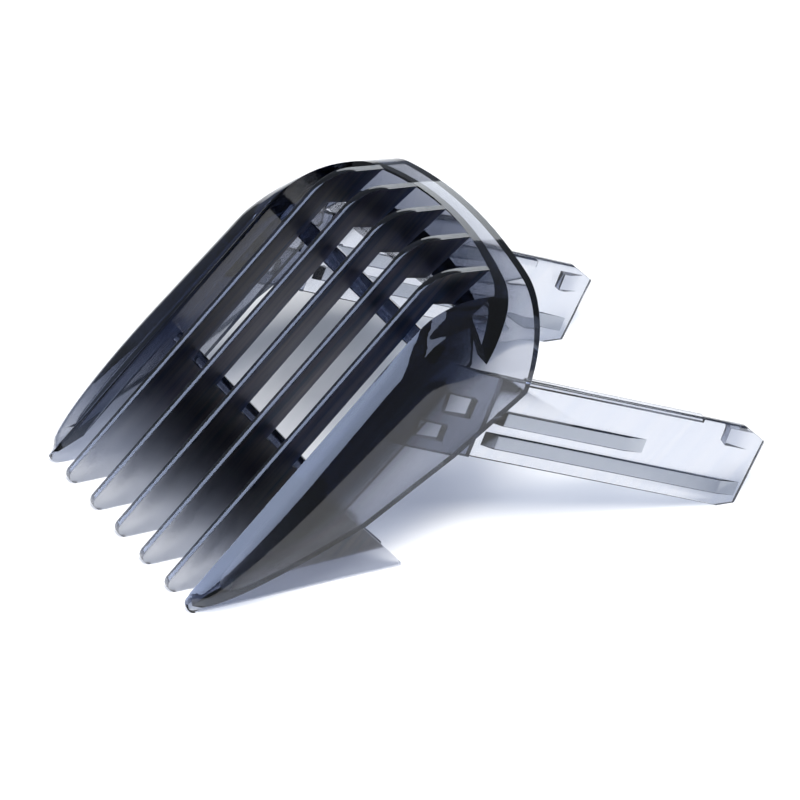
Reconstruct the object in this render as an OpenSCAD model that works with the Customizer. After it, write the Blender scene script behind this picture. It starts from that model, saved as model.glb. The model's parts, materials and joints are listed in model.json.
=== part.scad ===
// Clipper guard comb: seven teeth under a hollow arched collar, with two long side rails
// that slide into the channels of a hair clipper. Millimetres, +Z up. The comb rests on the
// flat undersides of its teeth and on the tail corners of its rails.
// Side profile terms: "depth" is measured square to the sloping front plane of the teeth.

/* [Teeth] */
// Distance between the middle planes of two inner teeth
tooth_pitch = 7.1; // [6:0.1:7.6]
// Thickness of an inner tooth
tooth_t = 1.1; // [0.8:0.1:1.4]
// Length of the flat underside that lies on the skin
foot_len = 26; // [24:0.5:28]
// Slope of the front plane that the top edges of the teeth lie in, degrees
front_angle = 43.5; // [42:0.5:45]
// Height of the front plane above the skin at the tips
front_rise = 2.1; // [1.8:0.1:2.4]
// Radius of the rounded tips
nose_r = 1.05; // [0.8:0.05:1.1]
// Depth of the slim upper strip of an inner tooth
strip_depth = 2.4; // [2:0.1:2.8]
// Radius of the bend from the front plane to the collar
bend_r = 6.5; // [4:0.5:8]

/* [Body] */
// Overall width of the collar
body_w = 50; // [48:0.5:52]
// Overall width across the outer teeth at the tips
tip_w = 40.2; // [40.2:0.1:41]
// Distance between the inner faces of the two outer teeth
outer_gap_w = 37.9; // [37.6:0.1:38]
// Length over which the plan swells from the tips to nearly its full width
swell_len = 16; // [14:1:20]
// Depth of the upper strip of an outer tooth
outer_strip_depth = 7.6; // [6:0.2:8]
// Thickness of the shoulder that joins an outer tooth to its cheek
shoulder_t = 2.2; // [1.8:0.1:2.6]
// Wall thickness of the cheeks and the collar rim
wall = 1.6; // [1.2:0.1:2]
// Thickness of the front of the collar arch
arch_t = 4.2; // [3.4:0.2:4.8]
// Fall of the collar towards the rear, degrees
collar_fall = 8; // [6:1:10]
// Radius of the crown of the collar
crown_r = 90; // [80:5:110]
// Radius of the collar's shoulders
shoulder_r = 11; // [9:0.5:12]

/* [Rails] */
// Distance between the outer faces of the rails
rail_span = 46.1; // [45:0.1:46.4]
// Thickness of a rail plate
rail_t = 1.2; // [1:0.1:1.5]
// Depth of a rail plate
rail_h = 10.05; // [9:0.05:11]
// Slope of the rails, degrees below level
rail_angle = 23.5; // [22:0.5:25]
// Length of the free arm of a rail
arm_len = 33; // [31:0.1:33]
// Height that the ribs stand out of a rail plate
rib_t = 0.7; // [0.5:0.1:0.9]
// Height that a snap lug stands out of a rail plate
lug_t = 1.2; // [0.8:0.1:1.4]

/* [Hidden] */
$fn = 96;
smoke = [0.20, 0.25, 0.36, 0.75];
clear = [0.80, 0.85, 0.92, 0.50];

// Y stations and heights are first set out from the tips and then moved by -mid_y,
// so that the origin is under the middle of the whole comb.
tail_y = 67.2;
tail_lean = 0.7;
tail_corner = [tail_lean, 8.1];
nose_y = (nose_r / cos(front_angle) - front_rise + nose_r) / tan(front_angle);
mid_y = (nose_y - nose_r + rail_point(tail_corner)[0]) / 2;

// Front plane: [Y, Z] of a point at distance u up the plane and at a depth under it
function front_point(u, depth) = [
    u * cos(front_angle) + depth * sin(front_angle),
    front_rise + u * sin(front_angle) - depth * cos(front_angle)
];
// Rail: [Y, Z] of a point at s along the rail behind its tail corner and n above it
function rail_point(p) = [
    tail_y + p[0] * cos(rail_angle) + p[1] * sin(rail_angle),
    -p[0] * sin(rail_angle) + p[1] * cos(rail_angle)
];
function arc(centre, r, from, to, steps) = [
    for (i = [0 : steps])
        let (a = from + (to - from) * i / steps) centre + r * [cos(a), sin(a)]
];

inner_count = 5;
inner_x = [for (i = [0 : inner_count - 1]) (i - (inner_count - 1) / 2) * tooth_pitch];
far = 90;

// Collar: crown line at X = 0, the ramp at the ends of the tooth slots, the rim plane
crown_y = 35.6;
crown_z = 34.2;
rim_top = [44.4, crown_z - (44.4 - crown_y) * tan(collar_fall)];
rim_lean = 90 - rail_angle;
rim_corner_z = 21.6;
rim_corner = [rim_top[0] - (rim_top[1] - rim_corner_z) / tan(rim_lean), rim_corner_z];
ramp_top = [41, crown_z - (41 - crown_y) * tan(collar_fall)];
ramp_angle = 36;
ramp_foot_drop = 4.3;
ramp_foot = ramp_top - ramp_foot_drop * [1 / tan(ramp_angle), 1];
crease_angle = 28;
cheek_edge = [[0, 1], [9.5, 5], [19.6, 8.9], [30.6, 15.4], rim_corner];
tooth_rear_u = 18.3;
foot_heel = 0.5;
outer_x = outer_gap_w / 2;
swell_x = 24.5;
full_width_y = 38.5;
widening = (body_w / 2 - swell_x) / (full_width_y - swell_len);

// Cross bars: distance up the front plane, and the size of their square sections
front_bar_u = tooth_rear_u;
front_bar = [1.5, 1.4];
rear_bar_u = 37.2;
rear_bar = [2.4, 2.2];
strip_end_u = rear_bar_u + 5.4;

// Rails: stations along the rail, all in its own frame
rail_low = -0.75;
root_gap = 0.06;
root_front = -48;
hinge_s = -arm_len;
flange_h = 0.8;
flange_w = 0.7;
flange_end = -7.9;
rib_front = hinge_s + 1;
rib_low_n = [0.9, 2.6];
rib_low_end = -0.4;
rib_up_n = [3.8, 5.5];
rib_up_end = -14.8;
rib_slope = 3;
lug_n = [6.4, 8.5];
lug_front = -4;
lug_crest = 0.8;
lug_tail = -0.8;
tail_chamfer = -2.2;
window_s = [[-45.2, -41.6], [-42.8, -39.2]];
window_n = [[0.6, 2.6], [4.0, 6.4]];

// ---- shared shapes ----

// Extrudes a [Y, Z] outline along X between two X values
module across(x0, x1) {
    translate([x0, 0, 0])
        rotate([90, 0, 90])
            linear_extrude(x1 - x0)
                children();
}

module place() {
    translate([0, -mid_y, 0])
        children();
}

// The two sides of the comb are mirror images: side is 1 for right and -1 for left
module on_side(side) {
    mirror([side < 0 ? 1 : 0, 0, 0])
        children();
}

// Three-centred arch with upright legs, its crown at the origin: a wide crown arc
// between two shoulder arcs that are tangent to it and to the legs
function shoulder_arc(inset) =
    let (
        r = shoulder_r - inset,
        top_r = crown_r - inset,
        cx = body_w / 2 - shoulder_r,
        cy = -crown_r + sqrt(pow(crown_r - shoulder_r, 2) - pow(cx, 2)),
        meet = atan2(cy + crown_r, cx)
    )
    concat(
        arc([cx, cy], r, 0, meet, 9),
        arc([0, -crown_r], top_r, meet + 2, 90, 4)
    );

module arch_outline(inset) {
    right = shoulder_arc(inset);
    leg_x = body_w / 2 - inset;
    count = len(right);
    left = [for (i = [count - 2 : -1 : 0]) [-right[i][0], right[i][1]]];
    polygon(concat([[leg_x, -75]], right, left, [[-leg_x, -75]]));
}

// The arch swept along the collar's falling crown line
module arch_bar(inset) {
    translate([0, crown_y, crown_z])
        rotate([90 - collar_fall, 0, 0])
            translate([0, 0, -30])
                linear_extrude(75)
                    arch_outline(inset);
}

// Everything under the front plane and in front of the rim plane, as a side view
module side_envelope() {
    rim_far = rim_corner - 60 * [cos(rim_lean), sin(rim_lean)];
    polygon([
        [-front_rise / tan(front_angle) - 1, -1 * tan(front_angle)],
        front_point(70, 0),
        rim_top + 20 * [cos(rim_lean), sin(rim_lean)],
        rim_far,
        [-5, -60]
    ]);
}

// The plan, whose sides swell from the tips in quarter ellipses
module plan_envelope(inset) {
    tip = tip_w / 2;
    right = concat(
        [[tip - inset, -2]],
        [
            for (a = [0 : 9 : 90])
                [tip + (swell_x - tip) * sin(a) - inset, swell_len * (1 - cos(a))]
        ],
        [[body_w / 2 - inset + widening * (far - full_width_y), far]]
    );
    left = [for (i = [len(right) - 1 : -1 : 0]) [-right[i][0], right[i][1]]];
    polygon(concat(right, left));
}

module outer_body() {
    intersection() {
        arch_bar(0);
        across(-40, 40)
            side_envelope();
        translate([0, 0, -10])
            linear_extrude(80)
                plan_envelope(0);
    }
}

// Side view of all that lies behind the crease between the arch and the thin rim
module behind_crease() {
    crease_top = rim_top + [-0.6, 0.1];
    dir = [cos(crease_angle), sin(crease_angle)];
    polygon([
        crease_top + 20 * dir,
        crease_top - 60 * dir,
        crease_top - 60 * dir + [0, -60],
        crease_top + 20 * dir + [0, -80]
    ]);
}

// Side view of all that lies in front of and above the ramp at the ends of the slots
module before_ramp() {
    dir = [cos(ramp_angle), sin(ramp_angle)];
    polygon([
        ramp_foot,
        ramp_top + 20 * dir,
        [-20, 70],
        [-20, -40],
        [ramp_foot[0], -40]
    ]);
}

// Side view of the layer under the front plane down to a depth
module front_layer(depth) {
    polygon([
        front_point(-10, -30), front_point(90, -30),
        front_point(90, depth), front_point(-10, depth)
    ]);
}

// Side view of a cheek: above the lower edge that runs from the tip to the rim corner
module above_cheek_edge() {
    polygon(concat(cheek_edge, [rim_corner + [40, 30], [0, 90]]));
}

// Side view of all above the line that the rails' top edges would follow if continued
module above_rail_line() {
    dir = [cos(rail_angle), -sin(rail_angle)];
    polygon([
        rim_corner + 20 * dir, rim_corner - 40 * dir,
        rim_corner + [-40, 60], rim_corner + [40, 60]
    ]);
}

// ---- collar ----

// The arch's own space in side view: between the ramp, the crease and the rail line
module arch_zone() {
    difference() {
        above_rail_line();
        before_ramp();
        behind_crease();
    }
}

// The rim's own space in side view
module rim_zone() {
    intersection() {
        above_rail_line();
        behind_crease();
    }
}

module collar_arch() {
    color(smoke)
        place()
            difference() {
                intersection() {
                    outer_body();
                    across(-40, 40)
                        arch_zone();
                }
                arch_bar(arch_t);
            }
}

module collar_rim() {
    color(smoke)
        place()
            difference() {
                intersection() {
                    outer_body();
                    across(-40, 40)
                        rim_zone();
                }
                arch_bar(wall);
            }
}

// ---- shoulders and cheeks ----

module shoulder(side) {
    color(smoke)
        place()
            on_side(side)
                intersection() {
                    outer_body();
                    across(outer_x + tooth_t, 40)
                        intersection() {
                            front_layer(shoulder_t);
                            before_ramp();
                            above_cheek_edge();
                        }
                }
}

// A thin side wall under the shoulder, whose inner face follows its outer one
module cheek(side) {
    color(smoke)
        place()
            on_side(side)
                difference() {
                    intersection() {
                        outer_body();
                        across(outer_x + tooth_t, 40)
                            difference() {
                                above_cheek_edge();
                                front_layer(shoulder_t);
                                arch_zone();
                                rim_zone();
                            }
                    }
                    inner_space();
                }
}

// The space inside the walls
module inner_space() {
    intersection() {
        arch_bar(wall);
        translate([0, 0, -10])
            linear_extrude(80)
                plan_envelope(wall);
    }
}

// ---- teeth ----

// Side view of a whole inner tooth: front part, slim strip, and web over the ramp
module inner_tooth_outline() {
    turn = front_angle + collar_fall;
    meet_y = (crown_z + crown_y * tan(collar_fall) - front_rise)
        / (tan(front_angle) + tan(collar_fall));
    meet = [meet_y, front_rise + meet_y * tan(front_angle)];
    leg = bend_r * tan(turn / 2);
    start = meet - leg * [cos(front_angle), sin(front_angle)];
    centre = start + bend_r * [sin(front_angle), -cos(front_angle)];
    polygon(concat(
        arc([nose_y, nose_r], nose_r, 270, 90 + front_angle, 10),
        arc(centre, bend_r, 90 + front_angle, 90 - collar_fall, 12),
        [
            ramp_top,
            ramp_foot,
            front_point(strip_end_u, strip_depth),
            front_point(tooth_rear_u, strip_depth),
            [foot_len, foot_heel],
            [foot_len, 0]
        ]
    ));
}

module inner_tooth(i) {
    color(smoke)
        place()
            intersection() {
                across(inner_x[i] - tooth_t / 2, inner_x[i] + tooth_t / 2)
                    inner_tooth_outline();
                arch_bar(0);
            }
}

// Side view of an outer tooth, whose upper strip is deeper and ends at the ramp
module outer_tooth_outline() {
    intersection() {
        polygon(concat(
            arc([nose_y, nose_r], nose_r, 270, 90 + front_angle, 10),
            [
                front_point(60, 0),
                front_point(60, outer_strip_depth),
                front_point(tooth_rear_u, outer_strip_depth),
                [foot_len, foot_heel],
                [foot_len, 0]
            ]
        ));
        union() {
            before_ramp();
            square([ramp_foot[0], 15]);
        }
    }
}

module outer_tooth(side) {
    color(smoke)
        place()
            on_side(side)
                intersection() {
                    across(outer_x, outer_x + tooth_t)
                        outer_tooth_outline();
                    arch_bar(0);
                }
}

// ---- cross bars ----

// A bar under the strips of the teeth, at a distance u up the front plane
module cross_bar(u, size) {
    color(smoke)
        place()
            across(-outer_x, outer_x)
                polygon([
                    front_point(u, strip_depth),
                    front_point(u + size[0], strip_depth),
                    front_point(u + size[0], strip_depth + size[1]),
                    front_point(u, strip_depth + size[1])
                ]);
}

// ---- rails ----

// Extrudes an outline in the right rail's own [s, n] frame between two X values
module along_rail(x0, x1) {
    translate([x0, tail_y, 0])
        rotate([-rail_angle, 0, 0])
            rotate([90, 0, 90])
                linear_extrude(x1 - x0)
                    children();
}

module rail_root(side) {
    plate_x = rail_span / 2 - rail_t;
    color(clear)
        place()
            on_side(side)
                difference() {
                    along_rail(plate_x, body_w / 2 - wall)
                        difference() {
                            translate([root_front, rail_low])
                                square([hinge_s - root_front - rail_t / 2 - root_gap, rail_h]);
                            for (i = [0, 1])
                                translate([window_s[i][0], window_n[i][0]])
                                    square([
                                        window_s[i][1] - window_s[i][0],
                                        window_n[i][1] - window_n[i][0]
                                    ]);
                        }
                    difference() {
                        outer_body();
                        inner_space();
                    }
                    across(0, 40)
                        front_layer(shoulder_t);
                }
}

module rail_arm(side) {
    plate_x = rail_span / 2 - rail_t;
    top_n = rail_low + rail_h;
    color(clear)
        place()
            on_side(side) {
                along_rail(plate_x, rail_span / 2)
                    polygon([
                        [hinge_s, rail_low], [tail_chamfer, rail_low], [0, 0], tail_corner,
                        [tail_chamfer, top_n], [hinge_s, top_n]
                    ]);
                hinge_round(plate_x + rail_t / 2, rail_t / 2, rail_low, top_n);
            }
}

// Round front end of an arm, about the line that the arm flexes about
module hinge_round(x, r, low, high) {
    translate([x, tail_y, 0])
        rotate([-rail_angle, 0, 0])
            translate([0, hinge_s, low])
                cylinder(h = high - low, r = r);
}

module top_flange(side) {
    plate_x = rail_span / 2 - rail_t;
    top_n = rail_low + rail_h;
    color(clear)
        place()
            on_side(side)
                along_rail(plate_x - flange_w, plate_x)
                    translate([rib_front, top_n - flange_h])
                        square([flange_end - rib_front, flange_h]);
}

// A raised rib on the outer face of an arm, with a ramp at its tail end
module rib(side, n, tail_s) {
    color(clear)
        place()
            on_side(side)
                translate([rail_span / 2, tail_y, 0])
                    rotate([-rail_angle, 0, 0])
                        translate([0, 0, n[0]])
                            linear_extrude(n[1] - n[0])
                                polygon([
                                    [0, rib_front], [rib_t, rib_front],
                                    [rib_t, tail_s - rib_slope], [0, tail_s]
                                ]);
}

// A wedge on the inner face of an arm: steep towards the collar, sloping to the tail
module snap_lug(side) {
    plate_x = rail_span / 2 - rail_t;
    color(clear)
        place()
            on_side(side)
                translate([plate_x, tail_y, 0])
                    rotate([-rail_angle, 0, 0])
                        translate([0, 0, lug_n[0]])
                            linear_extrude(lug_n[1] - lug_n[0])
                                polygon([
                                    [0, lug_front], [-lug_t, lug_front],
                                    [-lug_t, lug_front + lug_crest], [0, lug_tail]
                                ]);
}

collar_arch();
collar_rim();
shoulder(-1);  // left_shoulder
shoulder(1);  // right_shoulder
cheek(-1);  // left_cheek
cheek(1);  // right_cheek
outer_tooth(-1);  // left_outer_tooth
inner_tooth(0);  // inner_tooth_1
inner_tooth(1);  // inner_tooth_2
inner_tooth(2);  // inner_tooth_3
inner_tooth(3);  // inner_tooth_4
inner_tooth(4);  // inner_tooth_5
outer_tooth(1);  // right_outer_tooth
cross_bar(front_bar_u, front_bar);  // front_cross_bar
cross_bar(rear_bar_u, rear_bar);  // rear_cross_bar
rail_root(-1);  // left_rail_root
rail_root(1);  // right_rail_root
rail_arm(-1);  // left_rail_arm
rail_arm(1);  // right_rail_arm
top_flange(-1);  // left_top_flange
top_flange(1);  // right_top_flange
rib(-1, rib_up_n, rib_up_end);  // left_upper_rib
rib(1, rib_up_n, rib_up_end);  // right_upper_rib
rib(-1, rib_low_n, rib_low_end);  // left_lower_rib
rib(1, rib_low_n, rib_low_end);  // right_lower_rib
snap_lug(-1);  // left_snap_lug
snap_lug(1);  // right_snap_lug
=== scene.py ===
import json
import math

import bmesh
import bpy
from mathutils import Matrix, Vector


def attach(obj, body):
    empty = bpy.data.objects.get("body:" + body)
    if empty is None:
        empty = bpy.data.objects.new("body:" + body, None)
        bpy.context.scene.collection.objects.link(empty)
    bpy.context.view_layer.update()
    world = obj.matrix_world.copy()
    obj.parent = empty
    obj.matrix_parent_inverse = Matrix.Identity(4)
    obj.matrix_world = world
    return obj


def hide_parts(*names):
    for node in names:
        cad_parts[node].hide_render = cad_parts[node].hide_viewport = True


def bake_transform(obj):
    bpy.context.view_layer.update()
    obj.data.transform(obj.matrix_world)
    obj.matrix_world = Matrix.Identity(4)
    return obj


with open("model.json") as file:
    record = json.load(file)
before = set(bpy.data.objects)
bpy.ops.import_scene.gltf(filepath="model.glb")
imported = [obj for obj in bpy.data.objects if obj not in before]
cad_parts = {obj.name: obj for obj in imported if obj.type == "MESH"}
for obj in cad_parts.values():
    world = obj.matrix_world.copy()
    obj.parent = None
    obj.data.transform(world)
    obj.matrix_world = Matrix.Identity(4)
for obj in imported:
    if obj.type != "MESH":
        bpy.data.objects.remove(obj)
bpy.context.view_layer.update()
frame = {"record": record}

# Everything is set out in millimetres from the tooth tips and becomes metres at the end.
# Side views are [y, z] points, "depth" is square to the sloping front plane of the teeth.
MM = 0.001
QUARTER = math.pi / 2

# Teeth
TOOTH_PITCH = 7.1
TOOTH_T = 1.1
FOOT_LEN = 26
FRONT_ANGLE = math.radians(43.5)
FRONT_RISE = 2.1
NOSE_R = 1.05
STRIP_DEPTH = 2.4
TOOTH_REAR_U = 18.3
BEND_R = 6.5
OUTER_X = 18.95
OUTER_STRIP_DEPTH = 7.6
RIDGE_ROUND = 0.48
NOSE_STEPS = 12
BEND_STEPS = 16
FOOT_REAR_H = 0.5
STRIP_END_U = 42.6
OUTER_TOP_U = 60
# Bars: length up the slope, and depth behind the strips
FRONT_BAR = (1.5, 1.4)
REAR_BAR_U = 37.2
REAR_BAR = (2.4, 2.2)
BAR_ROUND = 0.35
SEAM = 0.012

# Collar and cheeks
BODY_W = 50
CROWN = (35.6, 34.2)
COLLAR_FALL = math.radians(8)
CROWN_R = 90
SHOULDER_R = 11
ARCH_T = 4.2
WALL = 1.6
SHOULDER_T = 2.2
TIP_X = 20.1
SWELL_X = 24.5
SWELL_LEN = 16
FULL_WIDTH_Y = 38.5
RIM_Y = 44.4
RIM_CORNER_Z = 21.6
RAMP_Y = 41
RAMP_DROP = 4.3
SLOT_GAP = 0.2

# Rails: _S is a range along the rail, back from the tail corner at 0, and _N a range up from
# the lower line. A window is s from and to, then n from and to. A rib is n from and to, then
# the s of its rear end, and its tapers are the front one and the rear one. The lug's three
# places are its start, the end of its flat top and the end of its ramp.
TAIL_Y = 67.2
RAIL_ANGLE = math.radians(23.5)
RAIL_X = 23.05
RAIL_T = 1.2
RAIL_N = (-0.75, 9.3)
TAIL_CORNER = (0.7, 8.1)
TAIL_CUT = -2.2
SPLIT_S = -37.0
SPLIT_GAP = 0.01
ROOT_S = -48
ROOT_WINDOWS = ((-45.2, -41.6, 0.6, 2.6), (-42.8, -39.2, 4.0, 6.4))
RIB_START = -36
RIB_RISE = 0.7
RIBS = ((0.9, 2.6, -0.45), (3.8, 5.5, -14.8))
RIB_TAPERS = (1.6, 3)
RIB_ROUND = 0.15
PLATE_ROUND = 0.12
FLANGE_S = (-33, -7.9)
FLANGE_T = 0.8
FLANGE_REACH = 0.7
FLANGE_ROUND = 0.1
LUG_S = (-4, -3.2, -0.8)
LUG_N = (6.4, 8.5)
LUG_REACH = 1.2

# How far solids that only cut reach along X, how deep joined solids overlap, and a step that
# keeps two faces from lying in one plane
CUT_X = 40
OVERLAP = 0.3
SLIVER = 0.02


def front_point(u, depth):
    """The [y, z] point u up the front plane from the tips and depth behind it."""
    return (
        u * math.cos(FRONT_ANGLE) + depth * math.sin(FRONT_ANGLE),
        FRONT_RISE + u * math.sin(FRONT_ANGLE) - depth * math.cos(FRONT_ANGLE),
    )


def rail_point(s, n):
    """The [y, z] point s along the rail from its tail and n up from its lower line."""
    return (
        TAIL_Y + s * math.cos(RAIL_ANGLE) + n * math.sin(RAIL_ANGLE),
        -s * math.sin(RAIL_ANGLE) + n * math.cos(RAIL_ANGLE),
    )


def arc(centre, r, start, end, steps):
    """Points of an arc between two angles."""
    angles = [start + (end - start) * i / steps for i in range(steps + 1)]
    return [(centre[0] + r * math.cos(a), centre[1] + r * math.sin(a)) for a in angles]


NOSE_Y = (NOSE_R / math.cos(FRONT_ANGLE) - FRONT_RISE + NOSE_R) / math.tan(FRONT_ANGLE)
MID_Y = (NOSE_Y - NOSE_R + rail_point(*TAIL_CORNER)[0]) / 2
RIM_TOP = (RIM_Y, CROWN[1] - (RIM_Y - CROWN[0]) * math.tan(COLLAR_FALL))
RIM_LEAN = QUARTER - RAIL_ANGLE
RIM_CORNER = (RIM_TOP[0] - (RIM_TOP[1] - RIM_CORNER_Z) / math.tan(RIM_LEAN), RIM_CORNER_Z)
RAMP_TOP = (RAMP_Y, CROWN[1] - (RAMP_Y - CROWN[0]) * math.tan(COLLAR_FALL))
RAMP_ANGLE = math.radians(36)
RAMP_FOOT = (RAMP_TOP[0] - RAMP_DROP / math.tan(RAMP_ANGLE), RAMP_TOP[1] - RAMP_DROP)
CREASE_ANGLE = math.radians(42)
CHEEK_EDGE = [(0, 1), (9.5, 5), (19.6, 8.9), (30.6, 15.4), RIM_CORNER]


# ---- mesh tools ----

def mesh_object(name, verts, faces):
    """A linked mesh object whose faces look outwards."""
    mesh = bpy.data.meshes.new(name)
    mesh.from_pydata(verts, [], faces)
    bm = bmesh.new()
    bm.from_mesh(mesh)
    bmesh.ops.recalc_face_normals(bm, faces=bm.faces)
    bm.to_mesh(mesh)
    bm.free()
    obj = bpy.data.objects.new(name, mesh)
    bpy.context.scene.collection.objects.link(obj)
    return obj


def prism_faces(n):
    """Faces of a prism whose two ends have n points each."""
    sides = [(i, (i + 1) % n, n + (i + 1) % n, n + i) for i in range(n)]
    return [tuple(range(n)), tuple(range(2 * n - 1, n - 1, -1))] + sides


def prism(name, outline, x0, x1):
    """A [y, z] outline drawn out along X."""
    verts = [(x, y, z) for x in (x0, x1) for y, z in outline]
    return mesh_object(name, verts, prism_faces(len(outline)))


def boolean(obj, other, operation):
    """Joins, cuts or crosses obj with other, which is used up."""
    mod = obj.modifiers.new("cut", "BOOLEAN")
    mod.operation = operation
    mod.solver = "MANIFOLD"
    mod.object = other
    depsgraph = bpy.context.evaluated_depsgraph_get()
    made = bpy.data.meshes.new_from_object(obj.evaluated_get(depsgraph))
    obj.modifiers.clear()
    obj.data = made
    bpy.data.objects.remove(other)
    return obj


def join(first, others):
    """Unites the others with the first."""
    for other in others:
        boolean(first, other, "UNION")
    return first


def round_edges(obj, wanted, radius, segments=3):
    """Rounds the edges for which wanted(edge) holds."""
    bm = bmesh.new()
    bm.from_mesh(obj.data)
    edges = [e for e in bm.edges if wanted(e)]
    bmesh.ops.bevel(
        bm, geom=edges, offset=radius, segments=segments,
        profile=0.5, affect="EDGES", clamp_overlap=True,
    )
    bm.to_mesh(obj.data)
    bm.free()
    return obj


def mirrored(obj, name):
    """A copy on the other side of X = 0."""
    twin = obj.copy()
    twin.data = obj.data.copy()
    twin.name = name
    bpy.context.scene.collection.objects.link(twin)
    twin.data.transform(Matrix.Scale(-1, 4, (1, 0, 0)))
    twin.data.flip_normals()
    return twin


SHARP_ANGLE = math.radians(30)
MERGE_DIST = 0.0005


def finish_mesh(obj):
    """Smooth shading up to an angle, metres, and the frame's origin."""
    bm = bmesh.new()
    bm.from_mesh(obj.data)
    bmesh.ops.remove_doubles(bm, verts=bm.verts, dist=MERGE_DIST)
    bmesh.ops.dissolve_degenerate(bm, edges=bm.edges, dist=MERGE_DIST)
    for face in bm.faces:
        face.smooth = True
    for edge in bm.edges:
        edge.smooth = edge.is_manifold and edge.calc_face_angle(0) < SHARP_ANGLE
    bm.to_mesh(obj.data)
    bm.free()
    obj.data.transform(Matrix.Scale(MM, 4) @ Matrix.Translation((0, -MID_Y, 0)))


# ---- the comb's smooth outer form ----

# Rounding between the front plane and the sides: in the middle, then on the shoulders, where
# it grows with y by SIDE_GROWTH from SIDE_SOFTNESS
MID_SOFTNESS = 2.5
SIDE_SOFTNESS = 1.0
SIDE_GROWTH = 0.16
SIDE_START_X = 16
SIDE_BLEND = 5

# A section is found from a core this far inside it, by rays round the corner and along the top
SECTIONS = 78
CORE_INSET = 12
CORNER_RAYS = 44
CROWDING = 1.5
TOP_RAYS = 6
FAR_AWAY = 60.0
HALVINGS = 28
FORM_Y = (-2.0, 50.0)
FORM_BOTTOM = -14


def half_width(y):
    """Half the plan width at y: a quarter ellipse from the tips, then a slight widening."""
    if y <= 0:
        return TIP_X
    if y < SWELL_LEN:
        return TIP_X + (SWELL_X - TIP_X) * math.sqrt(1 - (1 - y / SWELL_LEN) ** 2)
    return SWELL_X + (BODY_W / 2 - SWELL_X) * (y - SWELL_LEN) / (FULL_WIDTH_Y - SWELL_LEN)


def smooth_max(a, b, k):
    """The larger of two numbers, rounded over where they differ by less than k."""
    h = max(k - abs(a - b), 0) / k
    return max(a, b) + h * h * k / 4


def arch_distance(x, y, z):
    """Signed distance to the three-centred arch that runs along the collar's fall."""
    v = (z - CROWN[1]) * math.cos(COLLAR_FALL) + (y - CROWN[0]) * math.sin(COLLAR_FALL)
    cx = BODY_W / 2 - SHOULDER_R
    cv = -CROWN_R + math.sqrt((CROWN_R - SHOULDER_R) ** 2 - cx ** 2)
    if v < cv:
        return x - BODY_W / 2
    if x > cx and math.atan2(v - cv, x - cx) < math.atan2(cv + CROWN_R, cx):
        return math.hypot(x - cx, v - cv) - SHOULDER_R
    return math.hypot(x, v + CROWN_R) - CROWN_R


def softness(x, y):
    """Size of the rounding between the front plane and the sides."""
    side = min(max((x - SIDE_START_X) / SIDE_BLEND, 0), 1)
    side_softness = max(SIDE_SOFTNESS + SIDE_GROWTH * y, SIDE_SOFTNESS)
    return MID_SOFTNESS + (side_softness - MID_SOFTNESS) * side


def form(x, y, z, front_inset, side_inset):
    """Below 0 inside the outer form, which is moved in by the insets."""
    front = (z - FRONT_RISE) * math.cos(FRONT_ANGLE) - y * math.sin(FRONT_ANGLE)
    side = max(arch_distance(x, y, z), x - half_width(y))
    return smooth_max(front + front_inset, side + side_inset, softness(x, y))


def surface_point(start, direction, y, insets):
    """Where a ray in the plane at y leaves the outer form."""
    near, far = 0.0, FAR_AWAY
    for _ in range(HALVINGS):
        t = (near + far) / 2
        inside = form(start[0] + t * direction[0], y, start[1] + t * direction[1], *insets) < 0
        near, far = (t, far) if inside else (near, t)
    return (start[0] + near * direction[0], start[1] + near * direction[1])


def outer_form(name, insets):
    """Closed solid of the outer form, moved in by the insets, from sections along Y."""
    y0, y1 = FORM_Y
    stations = [y0 + (y1 - y0) * i / SECTIONS for i in range(SECTIONS + 1)]
    rings = []
    for y in stations:
        width = half_width(y) - insets[1]
        core_x = width - CORE_INSET
        height = surface_point((core_x, -30), (0, 1), y, insets)[1]
        right = [(width, FORM_BOTTOM)]
        core = (core_x, height - CORE_INSET)
        for i in range(CORNER_RAYS + 1):
            t = -1 + 2 * i / CORNER_RAYS
            angle = math.radians(45 + 45 * math.copysign(abs(t) ** CROWDING, t))
            right.append(surface_point(core, (math.cos(angle), math.sin(angle)), y, insets))
        for i in range(1, TOP_RAYS + 1):
            x = core_x * (1 - i / TOP_RAYS)
            right.append(surface_point((x, core[1]), (0, 1), y, insets))
        rings.append([(x, y, z) for x, z in right] + [(-x, y, z) for x, z in right[-2::-1]])
    n = len(rings[0])
    verts = [p for ring in rings for p in ring]
    faces = [tuple(range(n)), tuple(range(len(verts) - 1, len(verts) - n - 1, -1))]
    for r in range(len(rings) - 1):
        for i in range(n):
            j = (i + 1) % n
            faces.append((r * n + i, r * n + j, (r + 1) * n + j, (r + 1) * n + i))
    return mesh_object(name, verts, faces)


# ---- side views, whose far corners only have to lie outside the comb ----

def along(point, angle, distance):
    """The [y, z] point at a distance and angle from a point."""
    return (point[0] + distance * math.cos(angle), point[1] + distance * math.sin(angle))


def before_ramp():
    """All in front of the sloping lip that the teeth run out on."""
    return [RAMP_FOOT, along(RAMP_TOP, RAMP_ANGLE, 20), (-20, 70), (-20, -40), (RAMP_FOOT[0], -40)]


def behind_crease():
    """All behind the crease between the thick arch and the thin rim."""
    top = (RIM_TOP[0] - 0.6, RIM_TOP[1] + 0.1)
    low = along(top, CREASE_ANGLE, -60)
    high = along(top, CREASE_ANGLE, 20)
    return [high, low, (low[0], low[1] - 60), (high[0], high[1] - 80)]


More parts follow.
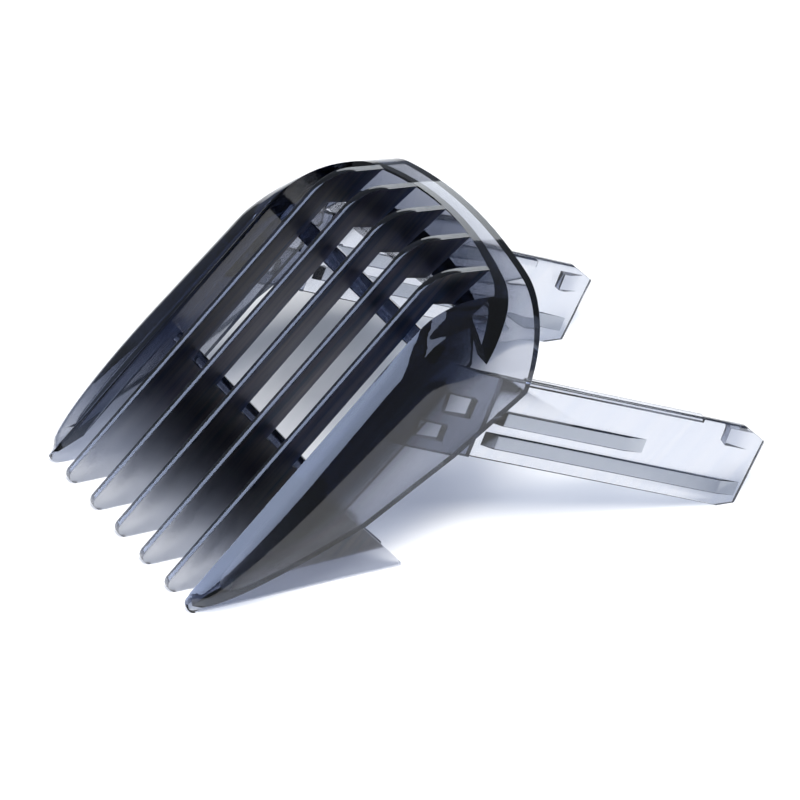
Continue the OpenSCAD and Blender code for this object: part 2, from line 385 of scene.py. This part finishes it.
def above_rail_line():
    """All above the line that runs forward from the rim's corner at the rails' angle."""
    return [
        along(RIM_CORNER, -RAIL_ANGLE, 20),
        along(RIM_CORNER, -RAIL_ANGLE, -40),
        (RIM_CORNER[0] - 40, RIM_CORNER[1] + 60),
        (RIM_CORNER[0] + 40, RIM_CORNER[1] + 60),
    ]


def kept_side():
    """All above the cheeks' lower edges and in front of the rim plane."""
    return CHEEK_EDGE + [along(RIM_CORNER, RIM_LEAN, 60), (0, 90)]


def arch_solid():
    """Prism of the thick front arch's zone: behind the ramp, before the crease."""
    zone = prism("zone", above_rail_line(), -CUT_X, CUT_X)
    boolean(zone, prism("ramp", before_ramp(), -CUT_X - 1, CUT_X + 1), "DIFFERENCE")
    return boolean(zone, prism("crease", behind_crease(), -CUT_X - 1, CUT_X + 1), "DIFFERENCE")


# ---- teeth ----

def crown_drop(x):
    """How far the crown lies below its middle at x."""
    return CROWN_R - math.sqrt(CROWN_R ** 2 - x ** 2)


def nose():
    """The round tip of a tooth, from its foot to the front plane."""
    return arc((NOSE_Y, NOSE_R), NOSE_R, 3 * QUARTER, QUARTER + FRONT_ANGLE, NOSE_STEPS)


def tooth_outline(x):
    """Side view of an inner tooth: front plate, slim strip, bend, and web over the ramp."""
    crown_z = CROWN[1] - crown_drop(x) / math.cos(COLLAR_FALL)
    fall = math.tan(COLLAR_FALL)
    slope = math.tan(FRONT_ANGLE)
    meet_y = (crown_z + CROWN[0] * fall - FRONT_RISE) / (slope + fall)
    leg = BEND_R * math.tan((FRONT_ANGLE + COLLAR_FALL) / 2)
    start = along((meet_y, FRONT_RISE + meet_y * slope), FRONT_ANGLE, -leg)
    centre = (start[0] + BEND_R * math.sin(FRONT_ANGLE), start[1] - BEND_R * math.cos(FRONT_ANGLE))
    ramp = math.tan(RAMP_ANGLE)
    end_y = (crown_z + CROWN[0] * fall - RAMP_FOOT[1] + RAMP_FOOT[0] * ramp) / (ramp + fall)
    end = (end_y, RAMP_FOOT[1] + (end_y - RAMP_FOOT[0]) * ramp)
    ridge = nose() + arc(centre, BEND_R, QUARTER + FRONT_ANGLE, QUARTER - COLLAR_FALL, BEND_STEPS)
    under = [
        (end[0] - SEAM, end[1] + SEAM),
        (RAMP_FOOT[0] - SEAM, RAMP_FOOT[1]),
        front_point(STRIP_END_U, STRIP_DEPTH),
        front_point(TOOTH_REAR_U, STRIP_DEPTH),
        (FOOT_LEN, FOOT_REAR_H),
        (FOOT_LEN, 0),
    ]
    return ridge + under, len(ridge)


def is_ridge(edge, outline, ridge_count):
    """An edge of the top outline: both ends lie on the ridge's points, on one side face."""
    a, b = (v.co for v in edge.verts)
    return abs(a.x - b.x) < 1e-6 and all(
        any(math.dist((v.y, v.z), p) < 1e-4 for p in outline[:ridge_count]) for v in (a, b)
    )


def inner_tooth(i):
    """Inner tooth i, from 0 on the left to 4 on the right, with a rounded ridge."""
    x = (i - 2) * TOOTH_PITCH
    outline, ridge_count = tooth_outline(x)
    tooth = prism(f"tooth_{i}", outline, x - TOOTH_T / 2, x + TOOTH_T / 2)
    return round_edges(tooth, lambda e: is_ridge(e, outline, ridge_count), RIDGE_ROUND)


def outer_tooth():
    """The right outer tooth, which meets the shoulder."""
    ridge = nose() + [front_point(OUTER_TOP_U, 0)]
    outline = ridge + [
        front_point(OUTER_TOP_U, OUTER_STRIP_DEPTH),
        front_point(TOOTH_REAR_U, OUTER_STRIP_DEPTH),
        (FOOT_LEN, FOOT_REAR_H),
        (FOOT_LEN, 0),
    ]
    tooth = prism("outer_tooth", outline, OUTER_X, OUTER_X + TOOTH_T)
    round_edges(
        tooth,
        lambda e: is_ridge(e, outline, len(ridge)) and e.verts[0].co.x < OUTER_X + 0.1,
        RIDGE_ROUND,
    )
    kept = [RAMP_FOOT, along(RAMP_TOP, RAMP_ANGLE, 20), (-20, 70), (-20, -5), (30, -5)]
    boolean(tooth, prism("keep", kept, 0, CUT_X), "INTERSECT")
    return boolean(tooth, outer_form("form", (0.0, 0.0)), "INTERSECT")


def cross_bar(name, u, size):
    """A bar across the comb behind the strips, size[0] up the slope and size[1] deep."""
    outline = [
        front_point(u, STRIP_DEPTH + SEAM),
        front_point(u + size[0], STRIP_DEPTH + SEAM),
        front_point(u + size[0], STRIP_DEPTH + size[1]),
        front_point(u, STRIP_DEPTH + size[1]),
    ]
    bar = prism(name, outline, -OUTER_X + SEAM, OUTER_X - SEAM)
    return round_edges(bar, lambda e: abs(e.verts[0].co.x - e.verts[1].co.x) > 1, BAR_ROUND)


# ---- shell: collar, shoulders and cheeks ----

def shell():
    """Collar, shoulders and cheeks: the outer form, cut to its side view and hollowed."""
    body = outer_form("shell", (0.0, 0.0))
    boolean(body, prism("side", kept_side(), -CUT_X, CUT_X), "INTERSECT")
    slot_x = OUTER_X + SLOT_GAP
    boolean(body, prism("slot", before_ramp(), -slot_x, slot_x), "DIFFERENCE")
    inside = outer_form("inside", (SHOULDER_T, WALL))
    boolean(inside, arch_solid(), "DIFFERENCE")
    boolean(body, inside, "DIFFERENCE")
    under_arch = outer_form("under_arch", (0.0, ARCH_T))
    boolean(under_arch, arch_solid(), "INTERSECT")
    return boolean(body, under_arch, "DIFFERENCE")


# ---- rails, in a frame of their own: s along the rail from its tail corner, n up ----

def to_rail(obj):
    """Moves a piece made with Y as s and Z as n into place."""
    obj.data.transform(
        Matrix.Translation((0, TAIL_Y, 0)) @ Matrix.Rotation(-RAIL_ANGLE, 4, "X")
    )
    return obj


def rail_block(name, outline, x0, x1, rounding=0.0):
    """An outline of [s, n] points drawn out along X, with all its edges rounded if asked."""
    block = prism(name, outline, x0, x1)
    if rounding:
        round_edges(block, lambda e: True, rounding, 2)
    return block


def rectangle(s0, s1, n0, n1):
    """Outline of a rectangle in the rail's side view."""
    return [(s0, n0), (s1, n0), (s1, n1), (s0, n1)]


def plan_prism(name, plan, n0, n1):
    """A plan outline of [x, s] points drawn out along n."""
    verts = [(x, s, n) for n in (n0, n1) for x, s in plan]
    return mesh_object(name, verts, prism_faces(len(plan)))


def guide_rib(n0, n1, end):
    """A rib on the rail's outer face, tapered towards both ends."""
    inside = RAIL_X - OVERLAP
    face = RAIL_X + RIB_RISE
    plan = [
        (inside, RIB_START), (RAIL_X + SLIVER, RIB_START), (face, RIB_START + RIB_TAPERS[0]),
        (face, end - RIB_TAPERS[1]), (RAIL_X - SLIVER, end), (inside, end),
    ]
    rib = plan_prism("rib", plan, n0, n1)
    return round_edges(rib, lambda e: min(v.co.x for v in e.verts) > face - 0.2, RIB_ROUND, 2)


def snap_lug(inner_x):
    """The lug inside the tail: a flat step with a ramp behind it."""
    start, peak, end = LUG_S
    plan = [
        (inner_x + OVERLAP, start), (inner_x - LUG_REACH, start), (inner_x - LUG_REACH, peak),
        (inner_x, end), (inner_x + OVERLAP, end),
    ]
    return plan_prism("lug", plan, *LUG_N)


def rail():
    """One free rail: plate, flange along its top, two ribs and the lug, as one mesh."""
    inner_x = RAIL_X - RAIL_T
    low, high = RAIL_N
    plate = [
        (SPLIT_S, low), (TAIL_CUT, low), (0, 0), TAIL_CORNER, (TAIL_CUT, high), (SPLIT_S, high),
    ]
    made = rail_block("rail", plate, inner_x, RAIL_X, PLATE_ROUND)
    flange_side = rectangle(*FLANGE_S, high - FLANGE_T, high - SLIVER)
    flange = rail_block(
        "flange", flange_side, inner_x - FLANGE_REACH, inner_x + OVERLAP, FLANGE_ROUND
    )
    join(made, [flange, snap_lug(inner_x)] + [guide_rib(*rib) for rib in RIBS])
    return to_rail(made)


def mark_ribs(obj):
    """Marks the faces that stand proud of the rail's plate, for the material's painted shade on the
    ribs.
    """
    mark = obj.data.attributes.new("rib", "FLOAT", "FACE")
    for face in obj.data.polygons:
        mark.data[face.index].value = float(abs(face.center.x) > (RAIL_X + 0.05) * MM)


def rail_root():
    """The rail's fixed end inside the cheek, with its two windows."""
    outline = rectangle(ROOT_S, SPLIT_S - SPLIT_GAP, *RAIL_N)
    root = rail_block("root", outline, RAIL_X - RAIL_T, BODY_W / 2 - WALL + 0.2)
    for window in ROOT_WINDOWS:
        boolean(root, rail_block("window", rectangle(*window), 10, CUT_X), "DIFFERENCE")
    to_rail(root)
    return boolean(root, outer_form("inner", (SHOULDER_T + SEAM, WALL + SEAM)), "INTERSECT")


# ---- materials ----

POLYCARBONATE_IOR = 1.585
TINT = (0.0, 0.07, 0.25)
PALE = (0.95, 0.95, 0.95)
STREAK_SIZE = (0.0016, 0.03, 0.0007)
STREAK_RANGE = (0.35, 0.65)
FLANK_RANGE = (0.90, 0.98)
# Painted shade on the rails' ribs
RIB_PAINTED_SHADE = (0.4, 0.43, 0.46)
SMOKE_SHADOW = (0.85, 0.86, 0.88)
WAVES_PER_METRE = 90
WAVE_HEIGHT = 0.0004


def slope_coordinates(nodes, links, scale):
    """Coordinates across, along and square to the teeth's sloping front, from the tips."""
    coords = nodes.new("ShaderNodeTexCoord")
    mapping = nodes.new("ShaderNodeMapping")
    mapping.vector_type = "TEXTURE"
    mapping.inputs["Location"].default_value = (0, -MID_Y * MM, FRONT_RISE * MM)
    mapping.inputs["Rotation"].default_value = (FRONT_ANGLE, 0, 0)
    mapping.inputs["Scale"].default_value = scale
    links.new(coords.outputs["Object"], mapping.inputs["Vector"])
    return mapping.outputs["Vector"]


def flow_lines_and_painted_shade(nodes, links, colours):
    """Flow lines along the teeth, between two colours, which paint shade where they are dark."""
    noise = nodes.new("ShaderNodeTexNoise")
    noise.inputs["Scale"].default_value = 1
    noise.inputs["Detail"].default_value = 3
    links.new(slope_coordinates(nodes, links, STREAK_SIZE), noise.inputs["Vector"])
    ramp = nodes.new("ShaderNodeValToRGB")
    for element, position, colour in zip(ramp.color_ramp.elements, STREAK_RANGE, colours):
        element.position = position
        element.color = (*colour, 1)
    links.new(noise.outputs["Fac"], ramp.inputs["Fac"])
    return ramp.outputs["Color"]


def fade_painted_shade(nodes, links, colour, axis, start, end):
    """Fades a colour, and the painted shade in it, to nearly clear, from end back to start, in
    millimetres along a slope axis.
    """
    parts = nodes.new("ShaderNodeSeparateXYZ")
    links.new(slope_coordinates(nodes, links, (1, 1, 1)), parts.inputs[0])
    fade = nodes.new("ShaderNodeMapRange")
    fade.interpolation_type = "SMOOTHSTEP"
    fade.inputs["From Min"].default_value = start * MM
    fade.inputs["From Max"].default_value = end * MM
    links.new(parts.outputs[axis], fade.inputs["Value"])
    mix = nodes.new("ShaderNodeMix")
    mix.data_type = "RGBA"
    mix.inputs["A"].default_value = (*PALE, 1)
    links.new(fade.outputs[0], mix.inputs["Factor"])
    links.new(colour, mix.inputs["B"])
    return mix.outputs["Result"]


def set_by_side(nodes, links, socket, value, side_value):
    """Sets a number that may change on the faces that look along X, such as the teeth's flanks."""
    if value == side_value:
        socket.default_value = value
        return
    geometry = nodes.new("ShaderNodeNewGeometry")
    parts = nodes.new("ShaderNodeSeparateXYZ")
    size = nodes.new("ShaderNodeMath")
    size.operation = "ABSOLUTE"
    ramp = nodes.new("ShaderNodeMapRange")
    ramp.inputs["From Min"].default_value = FLANK_RANGE[0]
    ramp.inputs["From Max"].default_value = FLANK_RANGE[1]
    ramp.inputs["To Min"].default_value = value
    ramp.inputs["To Max"].default_value = side_value
    links.new(geometry.outputs["Normal"], parts.inputs[0])
    links.new(parts.outputs["X"], size.inputs[0])
    links.new(size.outputs[0], ramp.inputs["Value"])
    links.new(ramp.outputs[0], socket)


def paint_rib_shade(nodes, links, colour):
    """Darkens the faces that the mesh marks as ribs with painted shade, a darker colour than the
    plastic.
    """
    mark = nodes.new("ShaderNodeAttribute")
    mark.attribute_name = "rib"
    mix = nodes.new("ShaderNodeMix")
    mix.data_type = "RGBA"
    mix.inputs["B"].default_value = (*RIB_PAINTED_SHADE, 1)
    links.new(mark.outputs["Fac"], mix.inputs["Factor"])
    links.new(colour, mix.inputs["A"])
    return mix.outputs["Result"]


def add_waves(nodes, links, plastic):
    """Faint waves of a moulded surface."""
    waves = nodes.new("ShaderNodeTexNoise")
    waves.inputs["Scale"].default_value = WAVES_PER_METRE
    waves.inputs["Detail"].default_value = 2
    coords = nodes.new("ShaderNodeTexCoord")
    links.new(coords.outputs["Object"], waves.inputs["Vector"])
    bump = nodes.new("ShaderNodeBump")
    bump.inputs["Strength"].default_value = 0.03
    bump.inputs["Distance"].default_value = WAVE_HEIGHT
    links.new(waves.outputs["Fac"], bump.inputs["Height"])
    links.new(bump.outputs["Normal"], plastic.inputs["Normal"])


def let_lamps_through(nodes, links, plastic, shadow):
    """The plastic's shader with a tinted Transparent shader in its place for rays from lamps."""
    open_shader = nodes.new("ShaderNodeBsdfTransparent")
    open_shader.inputs["Color"].default_value = (*shadow, 1)
    path = nodes.new("ShaderNodeLightPath")
    mix = nodes.new("ShaderNodeMixShader")
    links.new(path.outputs["Is Shadow Ray"], mix.inputs[0])
    links.new(plastic.outputs[0], mix.inputs[1])
    links.new(open_shader.outputs[0], mix.inputs[2])
    return mix.outputs[0]


def tinted_plastic(name, absorbed, roughness, shine, colours, shadow, fades=(), ribs=False):
    """Moulded translucent plastic: polished surface with faint waves and flow lines, and tint
    from absorption inside, with painted shade in the flow lines' colours. absorbed is the
    absorption's colour and density. roughness and shine are pairs, of most faces and of the faces
    that look along X. colours are those of the flow lines, dark ones painting shade, shadow is what
    lamps' light takes on inside, and fades are axes and ranges over which the colour and its
    painted shade turn nearly clear."""
    mat = bpy.data.materials.new(name)
    mat.use_nodes = True
    nodes = mat.node_tree.nodes
    links = mat.node_tree.links
    nodes.clear()
    out = nodes.new("ShaderNodeOutputMaterial")
    plastic = nodes.new("ShaderNodeBsdfPrincipled")
    plastic.inputs["Transmission Weight"].default_value = 1
    plastic.inputs["IOR"].default_value = POLYCARBONATE_IOR
    # The flow lines' colours carry painted shade, faded out along the slope axes below
    colour = flow_lines_and_painted_shade(nodes, links, colours)
    for fade in fades:
        colour = fade_painted_shade(nodes, links, colour, *fade)
    # Painted shade on the ribs
    if ribs:
        colour = paint_rib_shade(nodes, links, colour)
    links.new(colour, plastic.inputs["Base Color"])
    set_by_side(nodes, links, plastic.inputs["Roughness"], *roughness)
    set_by_side(nodes, links, plastic.inputs["Specular IOR Level"], *shine)
    add_waves(nodes, links, plastic)
    links.new(let_lamps_through(nodes, links, plastic, shadow), out.inputs["Surface"])
    absorb = nodes.new("ShaderNodeVolumeAbsorption")
    absorb.inputs["Color"].default_value = (*absorbed[0], 1)
    absorb.inputs["Density"].default_value = absorbed[1]
    links.new(absorb.outputs[0], out.inputs["Volume"])
    return mat


# Painted shade: these flow-line colours are far darker than the plastic. They stand in for the
# shade that inner reflections and the plates behind give, and fade to nearly clear towards the tips
# and deep behind the front plane.
smoke_painted_shade = tinted_plastic(
    "smoke_plastic", absorbed=(TINT, 350), roughness=(0.03, 0.12), shine=(0.1, 0.2),
    colours=((0.05, 0.07, 0.14), (0.13, 0.15, 0.22)), shadow=SMOKE_SHADOW,
    fades=[("Z", -9, -3), ("Y", 2, 22)],
)
# Painted shade: the root plates' flow lines are darker than the plastic, for the shade where the
# plates lie over the cheeks.
root_smoke_painted_shade = tinted_plastic(
    "root_smoke_plastic", absorbed=(TINT, 300), roughness=(0.03, 0.12), shine=(0.35, 0.35),
    colours=((0.36, 0.39, 0.46), (0.46, 0.48, 0.54)), shadow=SMOKE_SHADOW,
)
# The rails: clear plastic, with painted shade on the ribs
clear_plastic = tinted_plastic(
    "clear_plastic", absorbed=(TINT, 300), roughness=(0.03, 0.03), shine=(0.5, 0.5),
    colours=((0.9, 0.92, 0.95), (0.97, 0.97, 0.97)), shadow=(0.93, 0.94, 0.95), ribs=True,
)
# Painted shade: the inner teeth's flow lines are nearly black. They stand in for the shade of inner
# reflections and the plates behind, and fade to nearly clear towards the tips.
frosted_painted_shade = tinted_plastic(
    "frosted_smoke_plastic", absorbed=((0.1, 0.14, 0.25), 300), roughness=(0.05, 0.4),
    shine=(1.0, 0.08), colours=((0.01, 0.02, 0.05), (0.09, 0.08, 0.1)),
    shadow=(0.75, 0.76, 0.78), fades=[("Y", 2, 15)],
)

# ---- pieces ----

BODIES = frame["record"]["behaviour"]["bodies"]
TEETH = [f"inner_tooth_{i}" for i in range(1, 6)]
BARS = ["front_cross_bar", "rear_cross_bar"]
ROOTS = ["right_rail_root", "left_rail_root"]


def dress(obj, name, material):
    """Finishes a mesh and gives it its name and its one material."""
    obj.name = name
    finish_mesh(obj)
    obj.data.materials.clear()
    obj.data.materials.append(material)


def place(obj, name, material, nodes):
    """Finishes a fixed piece and lets it stand for its CAD nodes."""
    dress(obj, name, material)
    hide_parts(*nodes)
    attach(obj, "root")


def place_rail(obj, body):
    """Finishes a rail, marks its ribs and lets it stand for its body's CAD nodes."""
    dress(obj, body, clear_plastic)
    mark_ribs(obj)
    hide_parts(*BODIES[body])
    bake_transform(obj)


def place_root_body():
    """The shell with both outer teeth, the rail roots, the inner teeth and the bars."""
    body = shell()
    right_tooth = outer_tooth()
    left_tooth = mirrored(right_tooth, "left_outer")
    right_root = rail_root()
    left_root = mirrored(right_root, "left_root")
    join(body, [right_tooth, left_tooth])
    own_piece = TEETH + BARS + ROOTS
    place(body, "collar_and_cheeks", smoke_painted_shade, [n for n in BODIES["root"] if n not in own_piece])
    place(right_root, "right_root_plate", root_smoke_painted_shade, ["right_rail_root"])
    place(left_root, "left_root_plate", root_smoke_painted_shade, ["left_rail_root"])
    for i, node in enumerate(TEETH):
        place(inner_tooth(i), f"{node}_polished", frosted_painted_shade, [node])
    front_bar = cross_bar("front_bar", TOOTH_REAR_U, FRONT_BAR)
    place(front_bar, "front_bar", smoke_painted_shade, ["front_cross_bar"])
    rear_bar = cross_bar("rear_bar", REAR_BAR_U, REAR_BAR)
    place(rear_bar, "rear_bar", smoke_painted_shade, ["rear_cross_bar"])


def place_rails():
    """The two rails, each one mesh."""
    right_rail = rail()
    left_rail = mirrored(right_rail, "left_rail")
    place_rail(right_rail, "right_rail")
    place_rail(left_rail, "left_rail")


place_root_body()
place_rails()

# ---- camera ----

AZIMUTH = math.radians(64.775)
ELEVATION = math.radians(28.116)
DISTANCE = 935.4
TARGET = (0, 40, 18)
MOVED_RIGHT = -4.209
MOVED_UP = -8.333
LENS = 364.0


def add_camera():
    """A long lens at the photo's angle. Its aim is moved sideways and up from the target."""
    look = Vector((
        -math.sin(AZIMUTH) * math.cos(ELEVATION),
        math.cos(AZIMUTH) * math.cos(ELEVATION),
        -math.sin(ELEVATION),
    ))
    right = Vector((math.cos(AZIMUTH), math.sin(AZIMUTH), 0))
    up = right.cross(look)
    target = Vector((TARGET[0], TARGET[1] - MID_Y, TARGET[2])) * MM
    aside = right * (MOVED_RIGHT * MM)
    above = up * (MOVED_UP * MM)
    camera = bpy.data.objects.new("camera", bpy.data.cameras.new("camera"))
    bpy.context.scene.collection.objects.link(camera)
    camera.location = target - look * (DISTANCE * MM) + aside + above
    camera.rotation_euler = look.to_track_quat("-Z", "Y").to_euler()
    camera.data.sensor_width = 36
    camera.data.lens = LENS
    camera.data.clip_start = 0.01
    bpy.context.scene.camera = camera


add_camera()

# ---- stage and light ----

def add_floor():
    """A plain pale floor, 6 m wide."""
    corners = [(-3, -3, 0), (3, -3, 0), (3, 3, 0), (-3, 3, 0)]
    floor = mesh_object("floor", corners, [(0, 1, 2, 3)])
    material = bpy.data.materials.new("floor")
    material.use_nodes = True
    paint = material.node_tree.nodes["Principled BSDF"]
    paint.inputs["Base Color"].default_value = (0.92, 0.92, 0.93, 1)
    paint.inputs["Roughness"].default_value = 0.7
    paint.inputs["Emission Color"].default_value = (0.95, 0.97, 1, 1)
    paint.inputs["Emission Strength"].default_value = 0.02
    floor.data.materials.append(material)


def add_world(scene):
    """Dim, even light from all round."""
    world = bpy.data.worlds.new("studio")
    world.use_nodes = True
    background = world.node_tree.nodes["Background"]
    background.inputs["Color"].default_value = (0.8, 0.88, 1, 1)
    background.inputs["Strength"].default_value = 0.22
    scene.world = world


def softbox(name, direction, *, distance, size, brightness, colour=(1, 1, 1), diffuse=False):
    """A rectangular light that faces the comb, whose face has the given brightness. Unless
    diffuse is set, it's only seen in reflections and doesn't light the floor."""
    data = bpy.data.lights.new(name, "AREA")
    data.shape = "RECTANGLE"
    data.size, data.size_y = size
    data.energy = math.pi * size[0] * size[1] * brightness
    data.color = colour
    light = bpy.data.objects.new(name, data)
    bpy.context.scene.collection.objects.link(light)
    light.visible_transmission = False
    light.visible_diffuse = diffuse
    light.location = Vector(direction).normalized() * distance
    light.rotation_euler = (-light.location).to_track_quat("-Z", "Y").to_euler()
    return light


def add_softboxes():
    """The key light, and three boxes for the gleams on the front, the collar and the shoulders."""
    key = softbox(
        "key_box", (0.6, -0.2, 0.78), distance=1.8, size=(0.54, 0.54), brightness=58, diffuse=True
    )
    key.visible_glossy = False
    softbox(
        "front_left_box", (-0.5, -0.63, 0.56),
        distance=1.4, size=(1.0, 0.9), brightness=4.5, colour=(0.58, 0.7, 1),
    )
    softbox(
        "rear_left_box", (-0.8, 0.49, 0.35),
        distance=1.6, size=(0.9, 0.5), brightness=2, colour=(0.9, 0.95, 1),
    )
    softbox(
        "high_box", (-0.05, -0.2, 1),
        distance=1.2, size=(0.35, 0.35), brightness=3, colour=(0.6, 0.7, 1),
    )
    return key


NET_SHADE = [(-44, 30), (-30, 23), (-10, 24), (-8, 33), (-16, 48), (-36, 58), (-48, 54), (-50, 42)]
NET_HEIGHT = 55
NET_TINT = (0.2, 0.2, 0.21)


def add_net(key):
    """A net in the key light that dims the part of the floor that NET_SHADE outlines, which is
    seen through the gaps between the teeth."""
    ray = key.location.normalized()
    shift = ray * (NET_HEIGHT / ray.z)
    corners = [
        ((x + shift.x) * MM, (y - MID_Y + shift.y) * MM, NET_HEIGHT * MM) for x, y in NET_SHADE
    ]
    net = mesh_object("net", corners, [tuple(range(len(corners)))])
    material = bpy.data.materials.new("net")
    material.use_nodes = True
    nodes = material.node_tree.nodes
    nodes.clear()
    out = nodes.new("ShaderNodeOutputMaterial")
    mesh_gaps = nodes.new("ShaderNodeBsdfTransparent")
    mesh_gaps.inputs["Color"].default_value = (*NET_TINT, 1)
    material.node_tree.links.new(mesh_gaps.outputs[0], out.inputs["Surface"])
    net.data.materials.append(material)
    net.visible_camera = False
    net.visible_glossy = False
    net.visible_transmission = False


def set_light_paths(scene):
    """Plain colours, and enough bounces for many plates in a row."""
    scene.view_settings.view_transform = "Standard"
    scene.cycles.max_bounces = 40
    scene.cycles.transmission_bounces = 36
    scene.cycles.transparent_max_bounces = 36
    scene.cycles.glossy_bounces = 8
    scene.cycles.diffuse_bounces = 4


add_floor()
add_world(bpy.context.scene)
add_net(add_softboxes())
set_light_paths(bpy.context.scene)
